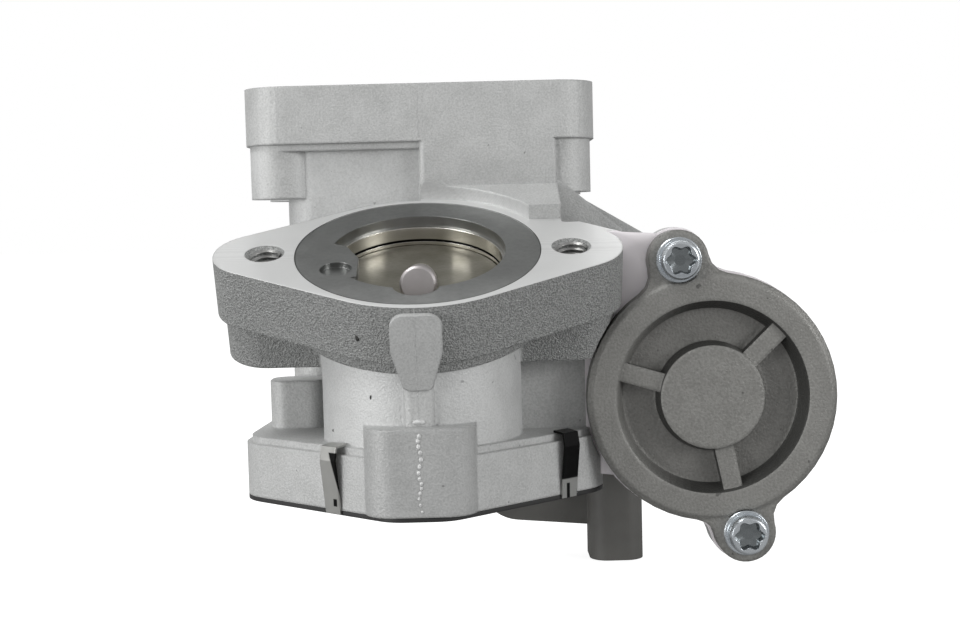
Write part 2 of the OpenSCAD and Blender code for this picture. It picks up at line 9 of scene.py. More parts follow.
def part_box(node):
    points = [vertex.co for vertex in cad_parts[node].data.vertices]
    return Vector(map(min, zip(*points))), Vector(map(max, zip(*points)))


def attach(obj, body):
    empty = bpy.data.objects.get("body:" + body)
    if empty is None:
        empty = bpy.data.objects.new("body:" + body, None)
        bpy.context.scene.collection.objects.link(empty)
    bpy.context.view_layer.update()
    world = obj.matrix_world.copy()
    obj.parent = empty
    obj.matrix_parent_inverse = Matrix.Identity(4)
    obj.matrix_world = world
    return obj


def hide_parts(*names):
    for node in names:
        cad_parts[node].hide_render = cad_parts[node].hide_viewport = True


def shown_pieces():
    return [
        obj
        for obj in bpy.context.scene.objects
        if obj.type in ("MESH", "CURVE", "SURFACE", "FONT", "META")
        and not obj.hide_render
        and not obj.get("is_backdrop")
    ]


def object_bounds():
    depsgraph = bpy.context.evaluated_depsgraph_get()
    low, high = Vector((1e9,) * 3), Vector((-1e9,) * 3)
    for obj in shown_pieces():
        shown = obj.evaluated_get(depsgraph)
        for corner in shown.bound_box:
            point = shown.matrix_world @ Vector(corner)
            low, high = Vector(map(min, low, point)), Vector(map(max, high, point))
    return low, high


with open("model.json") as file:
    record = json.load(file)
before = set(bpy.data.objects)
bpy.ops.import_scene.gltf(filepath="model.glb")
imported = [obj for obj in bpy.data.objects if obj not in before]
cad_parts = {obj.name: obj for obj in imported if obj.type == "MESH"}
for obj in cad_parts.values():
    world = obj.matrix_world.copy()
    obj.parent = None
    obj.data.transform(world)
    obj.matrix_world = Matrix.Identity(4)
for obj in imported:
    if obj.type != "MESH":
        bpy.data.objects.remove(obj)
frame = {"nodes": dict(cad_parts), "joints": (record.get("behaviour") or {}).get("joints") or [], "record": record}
CAD_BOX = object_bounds()
NODES = frame["nodes"]
MM = 0.001

# ---------- places taken from the construction: points in metres, lengths in millimetres ----------
JOINT_AT = {joint["name"]: Vector(joint["pos_m"]) for joint in frame["joints"]}
PIVOT = JOINT_AT["flap_turn"]                            # where the flap's shaft crosses the branch bore
MOTOR = Vector((JOINT_AT["motor_turn"].x, 0, JOINT_AT["motor_turn"].z))
TILT = math.radians(23)
BORE = Vector((0, -math.sin(TILT), math.cos(TILT)))      # the branch bore's axis
ACROSS = Vector((0, math.cos(TILT), math.sin(TILT)))     # up the branch face, square to its bore
FACE_UP = 7.9                                            # the branch face, along its bore from the pivot
BRANCH_BOLT = 33.2                                       # the branch's threaded holes, from its bore
RING_EDGE = 26.5                                         # the steel ring's radius
TOP_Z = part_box("housing")[1][2] / MM
SHAFT_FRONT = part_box("throttle_shaft")[0][1] / MM
PLATE_Y, PLATE_LEFT = -6, 36.2                           # the machined plate's face and its left end
FRONT_BOSS = Vector((0, -0.0372, 0.018))                 # top of the front boss, at its front
CAP_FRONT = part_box("motor_cap")[0][1] / MM
CAP_BOSS_BACK = 0.3                                      # how far the cap's boss lies behind its rim
CAP_SCREW_ANGLE, CAP_SCREW_RING = 103, 31                # degrees from X, and distance from the motor axis
SCREW_SEAT = CAP_FRONT + 0.8                             # the ears' face, under the screws' washers
HEAD_R, HEAD_H = 4.25, 4.4                               # a cap screw's head


def on_branch(x, y, z):
    """A place in the branch bore's own frame, in millimetres, as a point of the row frame."""
    return PIVOT + Vector((x * MM, 0, 0)) + ACROSS * (y * MM) + BORE * (z * MM)


def screw_place(turn):
    """A cap screw's axis, as a point in the X-Z plane."""
    angle = math.radians(CAP_SCREW_ANGLE + turn)
    return MOTOR + Vector((math.cos(angle), 0, math.sin(angle))) * (CAP_SCREW_RING * MM)


# ---------- image points: pixels of the 960 by 639 photograph ----------
IMAGE_POINTS = {
    "left_x": 212, "right_x": 838, "top_y": 77, "bottom_y": 560,
    "left_thread": (265.6, 253.7), "right_thread": (570.9, 245.0),
    "ring_middle": (416.9, 250.7), "shaft_end": (418.3, 285.0),
    "cap_boss": (711.7, 396.1), "upper_cap_screw": (680, 261), "lower_cap_screw": (748, 533),
    "front_boss_top": (417, 429),
    "gate_chip": (418.8, 422.3), "flange_pit": (357.4, 337.5),
    "neck_pit": (370.9, 397.4), "base_pit": (333.4, 430.4),
}

# ---------- camera ----------
FRAME_W, FRAME_H = 960, 639
LONG = max(FRAME_W, FRAME_H)
LENS = 54.17
SENSOR = 36.0
FOCAL = LONG * LENS / SENSOR
CAM_AT = Vector((0.01132, -0.32615, 0.05957))
CAM_YAW, CAM_PITCH, CAM_ROLL = (math.radians(a) for a in (-0.316, 3.884, -1.456))


def camera_axes():
    """The camera's right, up and forward directions."""
    forward = Vector((-math.sin(CAM_YAW) * math.cos(CAM_PITCH),
                      math.cos(CAM_YAW) * math.cos(CAM_PITCH), -math.sin(CAM_PITCH)))
    right = Vector((math.cos(CAM_YAW), math.sin(CAM_YAW), 0))
    up = right.cross(forward)
    cos_r, sin_r = math.cos(CAM_ROLL), math.sin(CAM_ROLL)
    return right * cos_r + up * sin_r, up * cos_r - right * sin_r, forward


CAM_RIGHT, CAM_UP, CAM_FORWARD = camera_axes()


def build_camera():
    """The scene's camera, at the photograph's viewing angle."""
    data = bpy.data.cameras.new("camera")
    data.sensor_fit = "AUTO"
    data.sensor_width = SENSOR
    data.lens = LENS
    data.clip_start = 0.01
    data.clip_end = 20
    camera = bpy.data.objects.new("camera", data)
    bpy.context.scene.collection.objects.link(camera)
    turn = Matrix((CAM_RIGHT, CAM_UP, -CAM_FORWARD)).transposed().to_4x4()
    camera.matrix_world = Matrix.Translation(CAM_AT) @ turn
    bpy.context.scene.camera = camera


def to_image(p):
    """Where a point of the row frame shows in the photograph's frame."""
    d = p - CAM_AT
    scale = FOCAL / d.dot(CAM_FORWARD)
    return FRAME_W / 2 + scale * d.dot(CAM_RIGHT), FRAME_H / 2 - scale * d.dot(CAM_UP)


def image_ray(x, y):
    """The direction of the ray through an image point."""
    return (CAM_RIGHT * (x - FRAME_W / 2) + CAM_UP * (FRAME_H / 2 - y) + CAM_FORWARD * FOCAL).normalized()


build_camera()


# ---------- material kit ----------
class Kit:
    """A material's node tree, with short calls for the nodes used here."""

    def __init__(self, name):
        self.name = name
        self.mat = bpy.data.materials.new(name)
        self.mat.use_nodes = True
        self.tree = self.mat.node_tree
        self.shader = self.tree.nodes["Principled BSDF"]
        self.place = self.add("ShaderNodeTexCoord").outputs["Object"]

    def add(self, kind, **inputs):
        """A new node, with values or links for its inputs."""
        node = self.tree.nodes.new(kind)
        for key, value in inputs.items():
            self.feed(node.inputs[key.replace("_", " ")], value)
        return node

    def feed(self, socket, value):
        """Links a node's output to a socket, or sets the socket's own value."""
        if isinstance(value, bpy.types.NodeSocket):
            self.tree.links.new(value, socket)
        else:
            socket.default_value = value

    def set(self, **inputs):
        """Feeds the shader's own sockets; a colour may have three numbers."""
        for key, value in inputs.items():
            if isinstance(value, tuple) and len(value) == 3:
                value = (*value, 1)
            self.feed(self.shader.inputs[key.replace("_", " ")], value)

    def linked(self, name):
        """What the shader's socket is linked to now."""
        return self.shader.inputs[name].links[0].from_socket

    def math(self, op, a, b=0.0):
        """The result of one Math node."""
        node = self.add("ShaderNodeMath")
        node.operation = op
        self.feed(node.inputs[0], a)
        self.feed(node.inputs[1], b)
        return node.outputs[0]

    def times(self, first, *others):
        """The product of several values."""
        for other in others:
            first = self.math("MULTIPLY", first, other)
        return first

    def plus(self, first, *others):
        """The sum of several values."""
        for other in others:
            first = self.math("ADD", first, other)
        return first

    def most(self, a, b):
        """The greater of two values."""
        return self.math("MAXIMUM", a, b)

    def outside(self, mask):
        """The mask turned inside out."""
        return self.math("SUBTRACT", 1.0, mask)

    def vector(self, op, a, b):
        """The result of one Vector Math node."""
        node = self.add("ShaderNodeVectorMath")
        node.operation = op
        self.feed(node.inputs[0], a)
        self.feed(node.inputs[1], b)
        return node.outputs["Value" if op in ("DOT_PRODUCT", "DISTANCE") else "Vector"]

    def along(self, axis, place=None):
        """How far the place lies along an axis, in millimetres."""
        return self.times(self.vector("DOT_PRODUCT", place or self.place, tuple(axis)), 1 / MM)

    def from_line(self, point, square_axes):
        """How far the place lies from a line through a point, in millimetres."""
        flat = self.vector("MULTIPLY", self.place, square_axes)
        return self.times(self.vector("DISTANCE", flat, tuple(point)), 1 / MM)

    def facing(self, axis):
        """How squarely the flat face looks along an axis, from -1 to 1."""
        normal = self.add("ShaderNodeNewGeometry").outputs["True Normal"]
        return self.vector("DOT_PRODUCT", normal, tuple(axis))

    def ramp(self, value, low, high, out_low=0.0, out_high=1.0):
        """out_low at low, out_high at high, and no further beyond them."""
        node = self.add("ShaderNodeMapRange")
        for index, number in enumerate((value, low, high, out_low, out_high)):
            self.feed(node.inputs[index], number)
        return node.outputs[0]

    def band(self, value, low, high, soft):
        """1 where value lies between low and high, falling to 0 over a soft edge."""
        return self.times(self.ramp(value, low - soft, low), self.ramp(value, high + soft, high))

    def noise(self, scale, detail=3.0, stretch=None):
        """Noise from 0 to 1, finer with a greater scale, and drawn out where stretch is small."""
        place = self.place if stretch is None else self.vector("MULTIPLY", self.place, stretch)
        return self.add("ShaderNodeTexNoise", Vector=place, Scale=scale, Detail=detail).outputs["Fac"]

    def mix(self, factor, a, b):
        """Colour a at factor 0 and b at factor 1."""
        node = self.add("ShaderNodeMix")
        node.data_type = "RGBA"
        self.feed(node.inputs[0], factor)
        self.feed(node.inputs[6], (*a, 1) if isinstance(a, tuple) else a)
        self.feed(node.inputs[7], (*b, 1) if isinstance(b, tuple) else b)
        return node.outputs[2]

    def bump(self, height, strength, distance, under):
        """A bump over another normal; distance is in millimetres."""
        node = self.add("ShaderNodeBump", Height=height, Strength=strength, Distance=distance * MM,
                        Normal=under)
        return node.outputs["Normal"]

    def rounded(self, radius):
        """A normal that rounds the edges to a radius in millimetres."""
        node = self.add("ShaderNodeBevel", Radius=radius * MM)
        node.samples = 4
        return node.outputs["Normal"]


def shaded(colour, share):
    """A share of a colour's brightness."""
    return tuple(share * c for c in colour)


def cast_metal(name, colour, dark, roughness, grain, edge, metallic=0.25, depth=0.3):
    """A sand-textured casting: a fine grain, a soft mottle, small pits and rounded edges."""
    kit = Kit(name)
    fine = kit.noise(grain, 2)
    mottle = kit.noise(160, 4)
    shade = kit.plus(kit.times(fine, 0.7), kit.times(mottle, 0.3))
    pits = kit.ramp(kit.noise(420, 2), 0.74, 0.76, 1.0, 0.35)
    skin = kit.mix(kit.ramp(shade, 0.36, 0.62), dark, colour)
    kit.set(Base_Color=kit.mix(pits, shaded(dark, 0.3), skin), Metallic=metallic,
            Roughness=kit.ramp(mottle, 0.3, 0.7, roughness - 0.06, roughness + 0.06),
            Normal=kit.bump(fine, 1.0, depth, kit.rounded(edge)))
    return kit


def plain_metal(name, colour, roughness, stretch=(1, 1, 12), bump=0.05, edge=0.25, tint=None):
    """A turned, ground or plated metal with fine streaks."""
    kit = Kit(name)
    streak = kit.noise(900, 2, stretch)
    cloud = kit.ramp(kit.noise(120, 3), 0.35, 0.65)
    kit.set(Base_Color=kit.mix(cloud, tint or shaded(colour, 0.86), colour), Metallic=1.0,
            Roughness=kit.ramp(streak, 0.3, 0.7, roughness * 0.8, roughness * 1.2),
            Normal=kit.bump(streak, bump, 0.05, kit.rounded(edge)))
    return kit


def plain_plastic(name, colour, roughness):
    """A moulded plastic or rubber with a slight grain."""
    kit = Kit(name)
    grain = kit.noise(1500, 3)
    cloud = kit.noise(90, 3)
    kit.set(Base_Color=kit.mix(kit.ramp(cloud, 0.3, 0.7), shaded(colour, 0.8), colour),
            Roughness=kit.ramp(grain, 0.3, 0.7, roughness - 0.05, roughness + 0.05),
            Normal=kit.bump(grain, 0.15, 0.05, kit.rounded(0.5)))
    return kit


# ---------- the casting: where each of its finishes starts and where it is full, in millimetres ----------
FLANGE_UNDER, BOSS_UNDER = (-7.9, -7.6), (-15.6, -15.2)           # along the branch bore
BOSS_IN, LEFT_OF_BORE = (21.6, 22.2), (0, -2)                     # sideways from the branch bore
GATE_SIDE = (6.2, 5.6)
GATE_FRONT, FLANGE_BACK = (-28.3, -28.6), (15.8, 15.5)            # up the branch face
BEFORE_PLATE = (PLATE_Y - 0.1, PLATE_Y - 0.3)
MILLED_IN, MILLED_OUT = 28.7, 29.15                               # the cutter's radius round the flange
FRONT_BOSS_FRONT, FRONT_BOSS_TOP = (-31.9, -32.2), (18.4, 17.6)
PAD_FRONT, PAD_BACK, PAD_LEFT, PAD_FADE = 11.9, 12.1, (-0.4, -0.1), (78, 66)
NECK_WALL, NECK_TOP = (22.2, 21.9), (46, 43)                      # the lower neck, round and upright
UPPER_NECK_FRONT, UPPER_NECK_RIGHT = (14, 15), (0.2, -0.2)
UPPER_NECK_LOW, UPPER_NECK_HIGH = 54, 77
RING_SEAM = (RING_EDGE + 0.22, RING_EDGE + 0.16)
FACE_HALF, FACE_SOFT = 0.08, 0.04                                 # a machined face's band in depth
SQUARE = (0.9, 0.96)                                              # how squarely a machined face looks out


def sand_and_shade_mask(kit, up, side, back, depth):
    """The sand-grained walls of the branch flange and its bolt bosses, without the gate mark; their darker colour
    is partly painted shade, as they face down.
    """
    outward = kit.math("ABSOLUTE", side)
    bosses = kit.times(kit.ramp(outward, *BOSS_IN), kit.ramp(up, *BOSS_UNDER))
    wall = kit.most(kit.ramp(up, *FLANGE_UNDER), bosses)
    clear = kit.most(kit.ramp(depth, *BEFORE_PLATE), kit.ramp(side, *LEFT_OF_BORE))
    gate = kit.times(kit.ramp(back, *GATE_FRONT), kit.ramp(outward, *GATE_SIDE))
    return kit.times(wall, clear, kit.ramp(back, *FLANGE_BACK), kit.outside(gate))


def flat_mask(kit, value, level, axis):
    """A machined face at one level, where it looks along an axis."""
    level_band = kit.band(value, level - FACE_HALF, level + FACE_HALF, FACE_SOFT)
    return kit.times(level_band, kit.ramp(kit.facing(axis), *SQUARE))


def painted_light_shade_masks(kit, side, height, depth):
    """Painted shade on the front boss and the pad, a little darker, and painted light on the two necks, a little
    lighter.
    """
    front_boss = kit.times(kit.ramp(depth, *FRONT_BOSS_FRONT), kit.ramp(height, *FRONT_BOSS_TOP))
    pad = kit.times(kit.band(depth, PAD_FRONT, PAD_BACK, 0.1), kit.ramp(side, *PAD_LEFT),
                    kit.ramp(height, *PAD_FADE))
    from_neck = kit.from_line((0, PIVOT.y, 0), (1, 1, 0))
    lower_neck_light = kit.times(kit.ramp(from_neck, *NECK_WALL), kit.ramp(height, *NECK_TOP))
    upper_neck_light = kit.times(kit.ramp(depth, *UPPER_NECK_FRONT), kit.ramp(side, *UPPER_NECK_RIGHT),
                           kit.band(height, UPPER_NECK_LOW, UPPER_NECK_HIGH, 0.5))
    return kit.most(front_boss, pad), kit.most(lower_neck_light, upper_neck_light)


def housing_material():
    """The casting: sandier and darker with painted shade on the branch flange, with painted shade and light on
    some walls, and cutter-finished where the construction machines it.
    """
    kit = cast_metal("cast_aluminium", (0.52, 0.525, 0.52), (0.41, 0.415, 0.41), 0.55, 2400, 0.7)
    from_pivot = kit.vector("SUBTRACT", kit.place, tuple(PIVOT))
    up, side, back = (kit.along(axis, from_pivot) for axis in (BORE, (1, 0, 0), ACROSS))
    height, depth = kit.along((0, 0, 1)), kit.along((0, 1, 0))

    # As cast
    # Painted shade darkens the front boss and the pad; painted light brightens the two necks
    dark, pale = painted_light_shade_masks(kit, side, height, depth)
    skin = kit.mix(kit.times(dark, 0.17), kit.linked("Base Color"), (0.0, 0.0, 0.0))
    skin = kit.mix(kit.times(pale, 0.14), skin, (0.95, 0.96, 0.96))
    # The sand's grain is the casting's own; the darker colour on these down-facing walls and bosses is partly
    # painted shade
    sandy_shaded = sand_and_shade_mask(kit, up, side, back, depth)
    sand = kit.noise(2700, 1.0)
    sand_and_shade_colour = kit.mix(kit.ramp(sand, 0.3, 0.7), (0.195, 0.2, 0.195), (0.39, 0.395, 0.39))
    cast_colour = kit.mix(sandy_shaded, skin, sand_and_shade_colour)

    # Machined: the branch face and the cut round it, both ends, and the plate behind the cap, whose near-white
    # colour is painted light
    reach = kit.math("SQRT", kit.plus(kit.times(side, side), kit.times(back, back)))
    face = flat_mask(kit, up, FACE_UP, BORE)
    milled = kit.times(kit.ramp(up, FACE_UP, FACE_UP + 0.1), kit.band(reach, MILLED_IN, MILLED_OUT, 0.1))
    top = kit.times(kit.ramp(height, TOP_Z - 0.1, TOP_Z - 0.05), kit.ramp(kit.facing((0, 0, 1)), *SQUARE))
    bottom = kit.times(kit.ramp(height, 0.1, 0.05), kit.ramp(kit.facing((0, 0, -1)), *SQUARE))
    plate = kit.times(flat_mask(kit, depth, PLATE_Y, (0, -1, 0)),
                      kit.ramp(side, PLATE_LEFT - 0.1, PLATE_LEFT))
    cut = kit.math("MINIMUM", kit.plus(face, milled, top, bottom, plate), 1.0)
    uncut = kit.outside(cut)
    rings = kit.add("ShaderNodeTexWave", Vector=from_pivot, Scale=900, Distortion=1.5, Detail=2)
    rings.wave_type = "RINGS"
    bright = kit.mix(kit.ramp(rings.outputs["Fac"], 0.2, 0.8), (0.6, 0.605, 0.6), (0.64, 0.645, 0.64))
    # Painted light: the plate is coloured near-white, far brighter than the other machined faces
    bright = kit.mix(plate, bright, (0.93, 0.89, 0.915))
    bright = kit.mix(kit.times(face, kit.ramp(reach, *RING_SEAM)), bright, (0.02, 0.02, 0.02))

    cast_bump = kit.bump(kit.noise(2400, 2), kit.times(uncut, 0.7), 0.16, kit.rounded(0.7))
    metallic = kit.math("SUBTRACT", kit.ramp(cut, 0, 1, 0.25, 0.45), kit.times(plate, 0.3))
    kit.set(Base_Color=kit.mix(cut, cast_colour, bright), Metallic=metallic,
            Roughness=kit.plus(kit.times(cut, -0.1), kit.linked("Roughness")),
            Normal=kit.bump(sand, kit.times(sandy_shaded, uncut), 0.55, cast_bump))
    return kit


# ---------- the other materials ----------
POCKET_WALL = (23, 22.5)                                 # from the motor's axis
POCKET_DEPTH = (CAP_FRONT + 2.6, CAP_FRONT + 0.8)
SOCKET_RIM, SOCKET_DEPTH = (3.5, 3.4), (CAP_FRONT - 3.55, CAP_FRONT - 3.3)
GROOVE_LOW, GROOVE_HIGH = 1.9, 2.4                       # along the branch bore
CLIP_LEAN = (1, 0, 0.24)                                 # square to the left clip's slanting edge
LEFT_CLIP_EDGE, LEFT_CLIP_TOP = (-16.5, -16.3), (12.4, 12.2)
LEFT_SLOT_SIDE, LEFT_SLOT_HEIGHT = (-18.6, -17.9), (0.9, 2.4)
RIGHT_SLOT_SIDE, RIGHT_SLOT_TOP, RIGHT_CLIP_FOOT = (31.0, 31.6), (2.6, 2.4), (3.3, 3.6)


def cap_material():
    """The motor cap's dark casting, with painted shade darkening it down in its pocket, darkest on the walls that
    look away.
    """
    kit = cast_metal("dark_cast", (0.262, 0.26, 0.247), (0.2, 0.198, 0.187), 0.44, 1900, 1.2, 0.35, 0.16)
    forward = kit.ramp(kit.along((0, 1, 0)), *POCKET_DEPTH)
    wall = kit.times(kit.ramp(kit.facing((0, -1, 0)), 0.9, 0.6), kit.ramp(kit.facing((1, 0, 0)), 0.8, 0.2),
                     kit.ramp(kit.from_line(MOTOR, (1, 0, 1)), *POCKET_WALL))
    skin = kit.linked("Base Color")
    # Painted shade deep in the pocket
    skin = kit.mix(forward, kit.mix(0.35, skin, (0.08, 0.078, 0.072)), skin)
    # Painted shade, darkest, on the pocket walls that look away from the light
    kit.set(Base_Color=kit.mix(wall, skin, (0.045, 0.045, 0.042)))
    return kit


def screw_material():
    """Zinc plating, with painted shade darkening the inside of the six-lobed sockets."""
    kit = plain_metal("screw_zinc", (0.74, 0.78, 0.81), 0.26, bump=0.03, edge=0.12, tint=(0.6, 0.64, 0.68))
    nearer = kit.math("MINIMUM", *(kit.from_line(screw_place(turn), (1, 0, 1)) for turn in (0, 180)))
    # Painted shade inside each socket
    socket = kit.times(kit.ramp(nearer, *SOCKET_RIM), kit.ramp(kit.along((0, 1, 0)), *SOCKET_DEPTH))
    kit.set(Base_Color=kit.mix(socket, kit.linked("Base Color"), (0.25, 0.27, 0.28)))
    return kit


def sleeve_material():
    """The polished bore, with painted shade as the black line of its groove."""
    kit = plain_metal("polished_steel", (0.8, 0.785, 0.75), 0.16, tint=(0.69, 0.67, 0.62))
    up = kit.along(BORE, kit.vector("SUBTRACT", kit.place, tuple(PIVOT)))
    # Painted shade: the groove is coloured near-black
    groove = kit.band(up, GROOVE_LOW, GROOVE_HIGH, 0.1)
    kit.set(Base_Color=kit.mix(groove, kit.linked("Base Color"), (0.01, 0.01, 0.01)))
    return kit


def clip_material():
    """Spring strip: the left clip is pale with a black side of painted shade, the right one black with a pale
    foot; both slots are black with painted shade.
    """
    kit = plain_metal("spring_steel", (0.5, 0.5, 0.48), 0.35)
    side, height = kit.along((1, 0, 0)), kit.along((0, 0, 1))
    left_side_shade = kit.times(kit.ramp(kit.along(CLIP_LEAN), *LEFT_CLIP_EDGE), kit.ramp(height, *LEFT_CLIP_TOP))
    left_slot_shade = kit.times(kit.band(side, *LEFT_SLOT_SIDE, 0.1), kit.band(height, *LEFT_SLOT_HEIGHT, 0.1))
    right_slot_shade = kit.times(kit.band(side, *RIGHT_SLOT_SIDE, 0.1), kit.ramp(height, *RIGHT_SLOT_TOP))
    # Painted shade: the left clip's far side and both slots are coloured black
    left = kit.times(kit.most(left_side_shade, left_slot_shade), kit.ramp(side, 0.0, -1))
    right = kit.times(kit.most(kit.ramp(height, *RIGHT_CLIP_FOOT), right_slot_shade), kit.ramp(side, 0.0, 1))
    kit.set(Base_Color=kit.mix(kit.plus(left, right), kit.linked("Base Color"), (0.012, 0.012, 0.012)))
    return kit


def build_materials():
    """Every material by name, the record's slots among them."""
    kits = (
        housing_material(),
        cast_metal("flash_metal", (0.66, 0.665, 0.66), (0.5, 0.505, 0.5), 0.5, 1500, 0.2),
        plain_plastic("pit_dark", (0.045, 0.045, 0.042), 0.8),
        plain_metal("thread_metal", (0.42, 0.42, 0.41), 0.35),
        plain_metal("machined_steel", (0.265, 0.27, 0.265), 0.36, stretch=(1, 1, 1)),
        sleeve_material(),
        plain_metal("tinted_steel", (0.275, 0.265, 0.228), 0.5, tint=(0.195, 0.186, 0.15)),
        plain_metal("shaft_steel", (0.58, 0.55, 0.55), 0.45, bump=0.12),
        plain_metal("bronze", (0.66, 0.5, 0.28), 0.4),
        plain_plastic("seal_rubber", (0.04, 0.04, 0.04), 0.6),
        plain_plastic("gear_plastic", (0.78, 0.76, 0.68), 0.4),
        plain_metal("magnet", (0.22, 0.22, 0.24), 0.45),
        plain_metal("zinc_steel", (0.68, 0.72, 0.76), 0.24, tint=(0.5, 0.54, 0.58)),
        screw_material(),
        cap_material(),
        plain_plastic("black_plastic", (0.13, 0.128, 0.12), 0.55),
        plain_plastic("gasket_black", (0.02, 0.02, 0.02), 0.5),
        clip_material(),
    )
    return {kit.name: kit.mat for kit in kits}


MATERIALS = build_materials()
for row in frame["record"]["subparts"]:
    slots = NODES[row["node"]].data.materials
    slots.clear()
    slots.append(MATERIALS[row["material_slot"]])


# ---------- added detail ----------
def make_piece(name, points, faces, material, body):
    """A mesh in the row frame that rides on a body and takes its finish from a material slot."""
    mesh = bpy.data.meshes.new(name)
    mesh.from_pydata([tuple(p) for p in points], [], faces)
    mesh.update()
    piece = bpy.data.objects.new(name, mesh)
    bpy.context.scene.collection.objects.link(piece)
    mesh.materials.append(MATERIALS[material])
    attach(piece, body)
    return piece


def tree_of(*names):
    """A BVH tree of some CAD nodes, whose meshes are in the row frame."""
    mesh = bmesh.new()
    for name in names:
        mesh.from_mesh(NODES[name].data)
    tree = BVHTree.FromBMesh(mesh)
    mesh.free()
    return tree


HOUSING = tree_of("housing")
BEFORE_ALL = -0.2                                        # a y in front of the whole object, in metres


def place_at(tree, x, y):
    """Where the ray through an image point meets a surface; a miss takes the place nearest the ray."""
    ray = image_ray(x, y)
    hit = tree.ray_cast(CAM_AT, ray)[0]
    if hit is None:
        hit = tree.find_nearest(CAM_AT + ray * (PIVOT - CAM_AT).length)[0]
    return hit


def front_of_casting(x, z):
    """Where the casting's front surface lies at one x and z, in millimetres; None where it is open."""
    return HOUSING.ray_cast(Vector((x * MM, BEFORE_ALL, z * MM)), Vector((0, 1, 0)))[0]


def ring_faces(rows, across, closed):
    """Quads between rows of points that follow one another, closed round or open."""
    quads = []
    for row in range(rows - 1):
        for k in range(across if closed else across - 1):
            a, b = row * across + k, row * across + (k + 1) % across
            quads.append((a, b, b + across, a + across))
    return quads


def thread(name, side):
    """The crests of an M8 thread standing in a tapping hole of the branch flange."""
    pitch, turns, steps = 1.25, 12, 28
    wall, crest, half_root, half_crest, start = 3.42, 3.02, 0.45, 0.06, FACE_UP - 0.7
    points = []
    for k in range(turns * steps + 1):
        angle = 2 * math.pi * k / steps
        middle = start - pitch * k / steps
        for radius, rise in ((wall, half_root), (crest, half_crest),
                             (crest, -half_crest), (wall, -half_root)):
            x, y = side * BRANCH_BOLT + radius * math.cos(angle), radius * math.sin(angle)
            points.append(on_branch(x, y, middle + rise))
    faces = [(a, d, c, b) for a, b, c, d in ring_faces(turns * steps + 1, 4, False)]
    make_piece(name, points, faces, "thread_metal", "body")


def cap_screw(name, turn):
    """A flanged screw of the motor cap: shank, washer face, and a rounded head with a six-lobed socket."""
    shank_r, shank_h = 2.1, -13.8
    washer_r, washer_h = 5.0, 0.8
    socket_r, socket_floor, lobe = 3.0, 2.4, 0.36
    profile = (                                          # radius, height over the seat, lobe
        (shank_r, shank_h, 0), (shank_r, 0, 0),
        (washer_r - 0.05, 0, 0), (washer_r, 0.15, 0), (washer_r, washer_h - 0.2, 0),
        (washer_r - 0.2, washer_h, 0),
        (HEAD_R + 0.05, washer_h, 0), (HEAD_R, washer_h + 0.2, 0), (HEAD_R, HEAD_H - 0.9, 0),
        (HEAD_R - 0.1, HEAD_H - 0.5, 0), (HEAD_R - 0.4, HEAD_H - 0.1, 0), (HEAD_R - 0.65, HEAD_H, 0),
        (socket_r, HEAD_H, lobe - 0.02), (socket_r - 0.15, HEAD_H - 0.2, lobe),
        (socket_r - 0.4, socket_floor, lobe), (1.2, socket_floor - 0.3, 0))
    count, lobes = 96, 6
    x, _, z = screw_place(turn) / MM
    points = []
    for radius, height, wave in profile:
        for k in range(count):
            a = 2 * math.pi * k / count
            r = radius + wave * math.cos(lobes * a)
            points.append(Vector((x + r * math.cos(a), SCREW_SEAT - height, z + r * math.sin(a))) * MM)
    faces = ring_faces(len(profile), count, True)
    faces.append(tuple(range(count))[::-1])
    faces.append(tuple(range((len(profile) - 1) * count, len(profile) * count)))
    return make_piece(name, points, faces, "screw_zinc", "body")


def parting_line(name, x, low, high, width=0.09):
    """A fine raised line where the die's halves met, laid on the front of the casting at one x."""
    step, sunk, proud, break_at = 0.5, 0.05, 0.8 * width, 1.2
    rows = []
    for k in range(int((high - low) / step) + 1):
        hit = front_of_casting(x, low + step * k)
        if hit is not None:
            rows.append(hit)
    points, faces = [], []
    for hit in rows:
        for dx, dy in ((-width, sunk), (0, -proud), (width, sunk)):
            points.append(hit + Vector((dx * MM, dy * MM, 0)))
    for k in range(len(rows) - 1):
        if abs(rows[k + 1].y - rows[k].y) < break_at * MM:
            a = 3 * k
            faces += [(a, a + 1, a + 4, a + 3), (a + 1, a + 2, a + 5, a + 4)]
    make_piece(name, points, faces, "flash_metal", "body")


def blobs(name, places, material):
    """Small flattened lumps: each place is its middle and its half sizes in millimetres."""
    mesh = bmesh.new()
    for middle, half in places:
        made = bmesh.ops.create_icosphere(mesh, subdivisions=2, radius=1.0)["verts"]
        for vertex in made:
            vertex.co = middle + Vector(tuple(c * h * MM for c, h in zip(vertex.co, half)))
    points = [v.co.copy() for v in mesh.verts]
    mesh.verts.index_update()
    faces = [tuple(v.index for v in f.verts) for f in mesh.faces]
    mesh.free()
    piece = make_piece(name, points, faces, material, "body")
    for polygon in piece.data.polygons:
        polygon.use_smooth = True


def flash_bumps():
    """Broken flash down the parting line of the front boss, uneven in place and size."""
    count, start, spacing = 14, 1.2, 1.18
    up_wander, side_wander = 0.35, 0.3
    least, spread, flat, tall = 0.26, 0.2, 0.22, 1.3
    places = []
    for k in range(count):
        z = start + spacing * k + up_wander * math.sin(7.0 * k)
        x = side_wander * math.sin(5.0 * k + 1)
        size = least + spread * abs(math.sin(3.0 * k))
        hit = front_of_casting(x, z)
        if hit is not None:
            places.append((hit, (size, flat, size * tall)))
    blobs("front_flash_bumps", places, "flash_metal")


